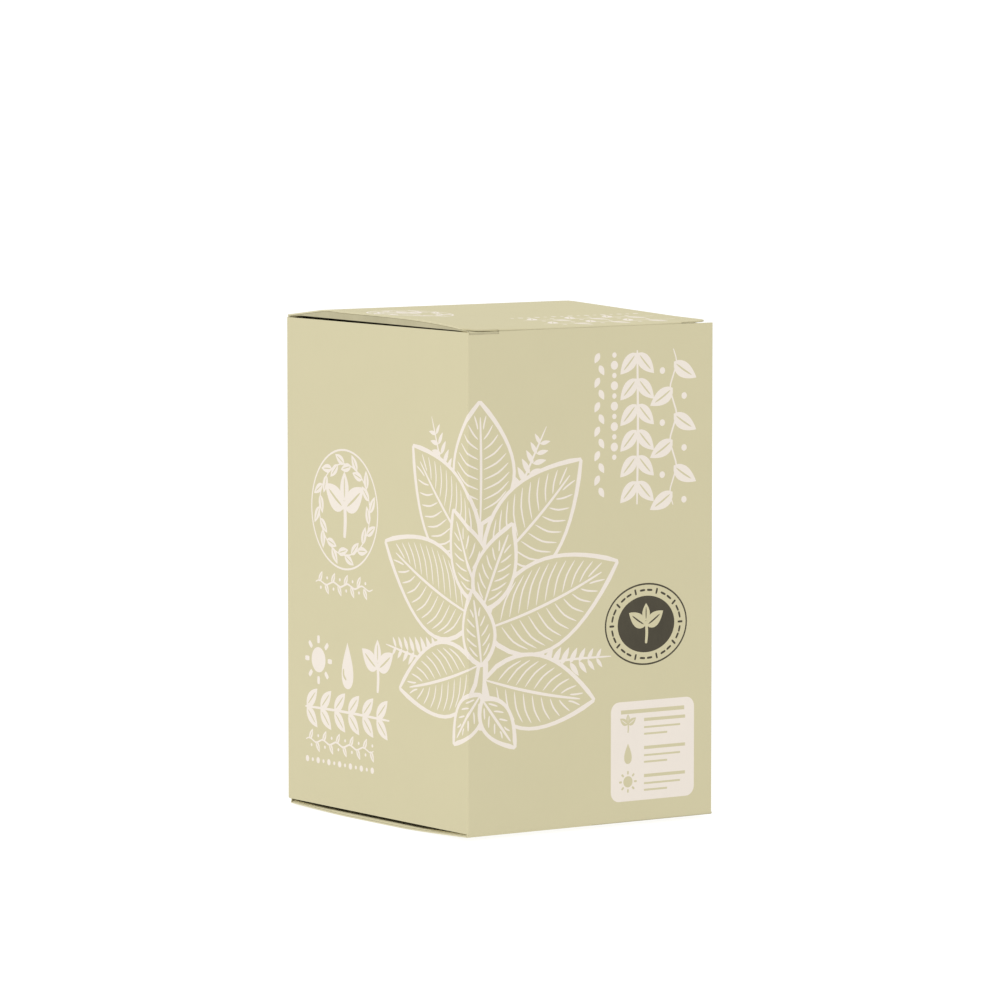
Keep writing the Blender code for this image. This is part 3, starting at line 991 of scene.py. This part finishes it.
# Bottom: the panel folds back from the front wall's foot, sags a little round a flat middle band,
# and its tuck flap goes up behind the back wall.
BELLY_MIDDLE = 0.002
BELLY_FLAT = 0.022
BELLY_FRONT_RISE = 0.0016
BELLY_BACK_RISE = 0.0011
BELLY_POWER = 1.2
BASE_CORNER = 0.0016
BASE_BACK_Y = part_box("bottom_panel")[1].y
BASE_TUCK_LOW, BASE_TUCK_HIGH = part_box("bottom_tuck_flap")
BASE_COLUMNS = (-0.034, 0.0, 0.034)
BASE_ROWS = [FRONT_Y + 0.0055 * i for i in range(1, 24)]


def belly(y):
    """Height of the bottom panel's underside."""
    away = abs(y - BELLY_MIDDLE) - BELLY_FLAT
    if away <= 0.0:
        return 0.0
    front = y < BELLY_MIDDLE
    rise = BELLY_FRONT_RISE if front else BELLY_BACK_RISE
    reach = BACK_Y + (BELLY_MIDDLE if front else -BELLY_MIDDLE) - BELLY_FLAT
    return rise * (away / reach) ** BELLY_POWER


base = flat_sheet("bottom_panel_board", RIGHT_X, LEFT_X, FRONT_Y, BASE_BACK_Y, True)
bevel("VERT", lambda vert: vert.co.y > 0.0, BASE_CORNER, 4)
slice_at("x", BASE_TUCK_LOW.x, *BASE_COLUMNS, BASE_TUCK_HIGH.x)
widen(edges_at("y", FRONT_Y), (0.0, 0.0, FRONT_FOOT - belly(FRONT_Y) - 0.1 * GAP))
widen(
    lambda edge: edges_at("y", BASE_BACK_Y)(edge) and abs(middle(edge).x) < BASE_TUCK_HIGH.x,
    (0.0, -TUCK_LEAN, BASE_TUCK_HIGH.z - BELLY_BACK_RISE),
)
bevel(
    "VERT",
    lambda vert: vert.co.z > TUCK_CORNER and abs(vert.co.x) > BASE_TUCK_HIGH.x - TINY,
    TUCK_CORNER, 6,
)
bevel("EDGE", lambda edge: edge.is_manifold and edge.calc_face_angle() > 1.0, CREASE, CREASE_STEPS)
slice_at("y", *BASE_ROWS)
lift_points(lambda co: belly(co.y if co.z < TINY else math.copysign(BACK_Y, co.y)))
thicken(base)
# Painted shade: the underside of the front fold's right half gets the darker board colour, as a dark
# hairline of shade at the foot.
base.data.materials.append(painted_shade_fold)
for face in base.data.polygons:
    if face.normal.z < -0.3 and face.center.y < FRONT_Y + CREASE and face.center.x > 0.0:
        face.material_index = SHADE_SLOT
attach(base, "carton")
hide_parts("bottom_panel", "bottom_tuck_flap")

# Bottom dust flaps: unprinted inside, they lie on the bottom panel and hang on the side walls' feet.
# Each one's fold stands on the panel's edge and rolls in under the wall, which leaves a dark slot.
BASE_SLOT = 0.00125
BASE_ROOT_TURN = math.radians(80)
BASE_ROOT_STEPS = 6
BASE_ROOT_FRONT = -0.0647
BASE_ROOT_BACK = 0.0620
BASE_FRONT_BRIDGE = 0.0010
BASE_ROOT_LEAST = 0.00025
BASE_ROOT_HIGH = 0.0020
BASE_FLAP_Y = (-0.050, 0.048)
BASE_FLAP_ENDS = (-0.060, 0.059)


def base_root_place(co, side):
    """Lays a bottom flap on the panel and rolls its root in as it rises to the wall's foot."""
    low = belly(co.y) + BOARD + DUST_DROP
    bridge = co.y < BASE_ROOT_FRONT + BASE_FRONT_BRIDGE
    high = max(SIDE_FOOT - (GAP if bridge else BASE_SLOT) - low, BASE_ROOT_LEAST)
    turn = BASE_ROOT_TURN * co.z / BASE_ROOT_HIGH
    rise = low + math.sin(turn) / math.sin(BASE_ROOT_TURN) * high
    return co.x - side * (1.0 - math.cos(turn)) * high, co.y, rise


for name, side in (("bottom_left_dust_flap", -1), ("bottom_right_dust_flap", 1)):
    outer_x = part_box(name)[side > 0].x
    root_x = side * (RIGHT_X - GAP)
    flap = flat_sheet(name + "_board", outer_x, side * DUST_INNER_X, *BASE_FLAP_Y, True)
    for y, end_y in zip(BASE_FLAP_Y, BASE_FLAP_ENDS):
        taper_end(y, end_y, side * DUST_INNER_X, side * DUST_BACK_X)
    widen(edges_at("x", outer_x), (root_x - outer_x, 0.0, 0.0))
    for end_y, new_y in zip(BASE_FLAP_ENDS, (BASE_ROOT_FRONT, BASE_ROOT_BACK)):
        widen(
            lambda edge: edges_at("y", end_y)(edge) and abs(middle(edge).x) > abs(outer_x),
            (0.0, new_y - end_y, 0.0),
        )
    widen(edges_at("x", root_x), (0.0, 0.0, BASE_ROOT_HIGH))
    bridge_end = BASE_ROOT_FRONT + BASE_FRONT_BRIDGE
    slice_at("y", bridge_end - GAP, bridge_end + GAP)
    slice_at("z", *between(0.0, BASE_ROOT_HIGH, BASE_ROOT_STEPS))
    slice_at("y", *BASE_ROWS)
    reshape(lambda vert: base_root_place(vert.co, side))
    thicken(flap)
    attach(flap, "carton")
    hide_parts(name)

# Grow bag: clear polypropylene film drawn close round the block, with slack wrinkles, a gusset
# down both sides and a breathing window in its top, under the filter patch.
BAG_LOW, BAG_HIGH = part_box("grow_bag")
PATCH_LOW, PATCH_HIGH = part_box("filter_patch")
BAG_FILM = 0.0004
BAG_CORNER = 0.012
BAG_STEP = 0.0045
WINDOW_HALF = 0.015
BAG_SLACK = 0.0009
GUSSET_DEPTH = 0.0010
GATHER_DEPTH = 0.0016
GATHERS = 17
GATHER_START = 0.030
GUSSET_WIDTH = 0.004
DRAPE_SCALE = Vector((60.0, 60.0, 22.0))
RIPPLE_SCALE = Vector((170.0, 170.0, 60.0))


def solid_box(name, low, high, corner, segments):
    """A box between two corners with all its edges rounded, open for editing."""
    made = start_piece(name, (low + high) / 2, high - low)
    bevel("EDGE", lambda edge: True, corner, segments)
    return made


def cut_grid(low, high, step):
    """Slices the mesh into a grid, so that its surface can be made uneven."""
    for axis in "xyz":
        start, end = getattr(low, axis), getattr(high, axis)
        slice_at(axis, *between(start, end, round((end - start) / step)))


def push_in(depth_at):
    """Pushes each point in along its normal, by a depth that depends on its place."""
    reshape(lambda vert: vert.co + vert.normal * -depth_at(vert.co, vert.normal))


def film_depth(co, normal):
    """How far the slack film lies inside the bag's outer box."""
    drape = noise.noise(co * DRAPE_SCALE)
    ripple = noise.noise(co * RIPPLE_SCALE)
    depth = BAG_SLACK * (0.5 + 0.38 * drape + 0.12 * ripple)
    if abs(normal.x) > 0.8:
        depth += GUSSET_DEPTH * math.exp(-(co.y / GUSSET_WIDTH) ** 2) * min(co.z / BAG_HIGH.z, 1.0)
    if normal.z > 0.5:
        share = min(max(math.hypot(co.x, co.y) / GATHER_START - 1.0, 0.0), 1.0)
        turn = math.atan2(co.y, co.x)
        depth += GATHER_DEPTH * share * (0.5 - 0.5 * math.cos(GATHERS * turn + 1.6 * math.sin(3 * turn)))
    return depth


bag = solid_box("grow_bag_film", BAG_LOW, BAG_HIGH, BAG_CORNER, 5)
cut_grid(BAG_LOW, BAG_HIGH, BAG_STEP)
for value in (-WINDOW_HALF, WINDOW_HALF):
    slice_at("x", value)
    slice_at("y", value)
push_in(film_depth)
drop_faces(
    lambda face: face.normal.z > 0.5 and max(abs(middle(face).x), abs(middle(face).y)) < WINDOW_HALF
)


def film(name, clearest, haziest):
    """Clear film, a little hazy in clouds, with fine crinkles."""
    made, add, _, _, finish = new_material(name, Base_Color=(0.93, 0.94, 0.93, 1.0), IOR=1.49)
    place = add("TexCoord", "Object")
    haze = add("TexNoise", Vector=place, Scale=70.0, Detail=5.0)
    cover = add("MapRange", Value=haze, From_Min=0.35, From_Max=0.70, To_Min=clearest, To_Max=haziest)
    rough = add("MapRange", Value=haze, To_Min=0.14, To_Max=0.38)
    crinkle = add("TexNoise", Vector=place, Scale=260.0, Detail=3.0, Distortion=1.4)
    relief = add("Bump", Strength=0.5, Distance=0.0003, Height=crinkle)
    finish(Alpha=cover, Roughness=rough, Normal=relief)
    return made


thicken(bag, 3 * (film("bag_film", 0.10, 0.26),), BAG_FILM)
bpy.ops.object.shade_smooth()
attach(bag, "carton")
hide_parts("grow_bag")

# Bag closure: the film's open end is heat-sealed, rolled over twice and laid flat on the bag's top.
# The seal shows as a band of fine crimped ribs.
CLOSURE_HALF_X = 0.046
CLOSURE_FRONT_Y = 0.0290
CLOSURE_BACK_Y = 0.0490
CLOSURE_HIGH = 0.0016
CLOSURE_RIBS = 9
CLOSURE_COLUMNS = 28
CLOSURE_ROUND = 0.00055
RIB_DEPTH = 0.00018
ROLL_WAVE = 0.00035
closure_foot = BAG_HIGH.z - BAG_FILM
closure_low = Vector((-CLOSURE_HALF_X, CLOSURE_FRONT_Y, closure_foot))
closure_high = Vector((CLOSURE_HALF_X, CLOSURE_BACK_Y, closure_foot + CLOSURE_HIGH))
closure = solid_box("bag_top_closure", closure_low, closure_high, CLOSURE_ROUND, 3)
slice_at("x", *between(closure_low.x, closure_high.x, CLOSURE_COLUMNS))
slice_at("y", *between(closure_low.y, closure_high.y, 4 * CLOSURE_RIBS))


def closure_depth(co, normal):
    """Crimped ribs along the seal, and a slight waviness of the rolled film."""
    if normal.z < 0.5:
        return 0.0
    share = (co.y - closure_low.y) / (closure_high.y - closure_low.y)
    ribs = 0.5 - 0.5 * math.cos(2 * math.pi * CLOSURE_RIBS * share)
    wave = 0.5 + 0.5 * noise.noise(Vector((co.x * 55.0, co.y * 90.0, 0.0)))
    return RIB_DEPTH * ribs * (0.25 < share < 0.75) + ROLL_WAVE * wave


push_in(closure_depth)
bpy.ops.object.mode_set(mode="OBJECT")
closure.data.materials.append(film("sealed_film", 0.62, 0.80))
bpy.ops.object.shade_smooth()
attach(closure, "carton")

# Filter patch: a square of white spun-bonded membrane over the bag's window. It is welded on
# along a pressed band all round its edge, and its middle stands up a little.
PATCH_CORNER = 0.004
PATCH_SINK = 0.0002
PATCH_RINGS = ((0.972, 0.0), (0.960, -0.00022), (0.800, -0.00022), (0.785, 0.0), (0.5, 0.0002))
patch_middle = (PATCH_LOW + PATCH_HIGH) / 2
patch = start_piece("filter_patch_membrane", patch_middle, PATCH_HIGH - PATCH_LOW)
bevel("EDGE", along_z, PATCH_CORNER, 6)
patch_top = PATCH_HIGH.z - PATCH_SINK
shift("FACE", lambda face: face.normal.z > 0.9, (0.0, 0.0, patch_top - PATCH_HIGH.z))
ring_share, ring_high = 1.0, 0.0
for share, high in PATCH_RINGS:
    extrude((0.0, 0.0, high - ring_high))
    bpy.ops.transform.resize(
        value=(share / ring_share, share / ring_share, 1.0),
        center_override=(patch_middle.x, patch_middle.y, patch_top + high),
    )
    ring_share, ring_high = share, high
bpy.ops.object.mode_set(mode="OBJECT")

membrane, add, mix, add_up, finish = new_material("patch_membrane", Roughness=0.85, Specular_IOR_Level=0.2)
place = add("TexCoord", "Object")
fibres = add("TexNoise", Vector=place, Scale=900.0, Detail=8.0, Distortion=2.2)
web = add_up(add("TexVoronoi", "Distance", Vector=place, Scale=1100.0, Randomness=0.0), 0.6, fibres)
relief = add("Bump", Strength=0.5, Distance=0.0001, Height=web)
finish(Base_Color=mix(web, (0.74, 0.74, 0.71, 1.0), (0.88, 0.88, 0.86, 1.0)), Normal=relief)
patch.data.materials.append(membrane)
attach(patch, "carton")
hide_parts("filter_patch")

# Substrate block: sawdust that the fungus has grown right through, lumpy at the top, with white
# felt over most of it and tan and brown crumbs showing through.
BLOCK_LOW, BLOCK_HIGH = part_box("substrate_block")
BLOCK_CORNER = 0.010
BLOCK_STEP = 0.0036
BLOCK_PITS = 0.0016
BLOCK_TOP_PITS = 0.0050
BLOCK_LUMPS = ((75.0, 0.5), (190.0, 0.28), (420.0, 0.16))
SAWDUST_COLOURS = ((0.36, 0.24, 0.13, 1.0), (0.72, 0.56, 0.36, 1.0))
FELT_COLOUR = (0.93, 0.91, 0.86, 1.0)


def block_depth(co, normal):
    """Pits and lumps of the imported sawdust, deeper on the loose top."""
    lumps = sum(noise.noise(co * scale) * share for scale, share in BLOCK_LUMPS)
    pits = BLOCK_PITS + (BLOCK_TOP_PITS - BLOCK_PITS) * max(normal.z, 0.0)
    return pits * min(max(0.5 + lumps, 0.0), 1.0)


block = solid_box("mycelium_block", BLOCK_LOW, BLOCK_HIGH, BLOCK_CORNER, 4)
cut_grid(BLOCK_LOW, BLOCK_HIGH, BLOCK_STEP)
push_in(block_depth)
bpy.ops.object.mode_set(mode="OBJECT")

mycelium, add, mix, _, finish = new_material("mycelium", Roughness=0.95, Specular_IOR_Level=0.1)
place = add("TexCoord", "Object")
growth = add("TexNoise", Vector=place, Scale=75.0, Detail=9.0, Roughness=0.62)
crumbs = add("TexVoronoi", "Color", Vector=place, Scale=420.0)
sawdust = add("ValToRGB", Fac=add("SeparateColor", Color=crumbs))
for stop, colour in zip(sawdust.node.color_ramp.elements, SAWDUST_COLOURS):
    stop.color = colour
cover = add("MapRange", Value=growth, From_Min=0.36, From_Max=0.50)
relief = add("Bump", Strength=0.8, Distance=0.0009, Height=growth)
finish(Base_Color=mix(cover, sawdust, FELT_COLOUR), Normal=relief)
block.data.materials.append(mycelium)
bpy.ops.object.shade_smooth()
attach(block, "carton")
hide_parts("substrate_block")
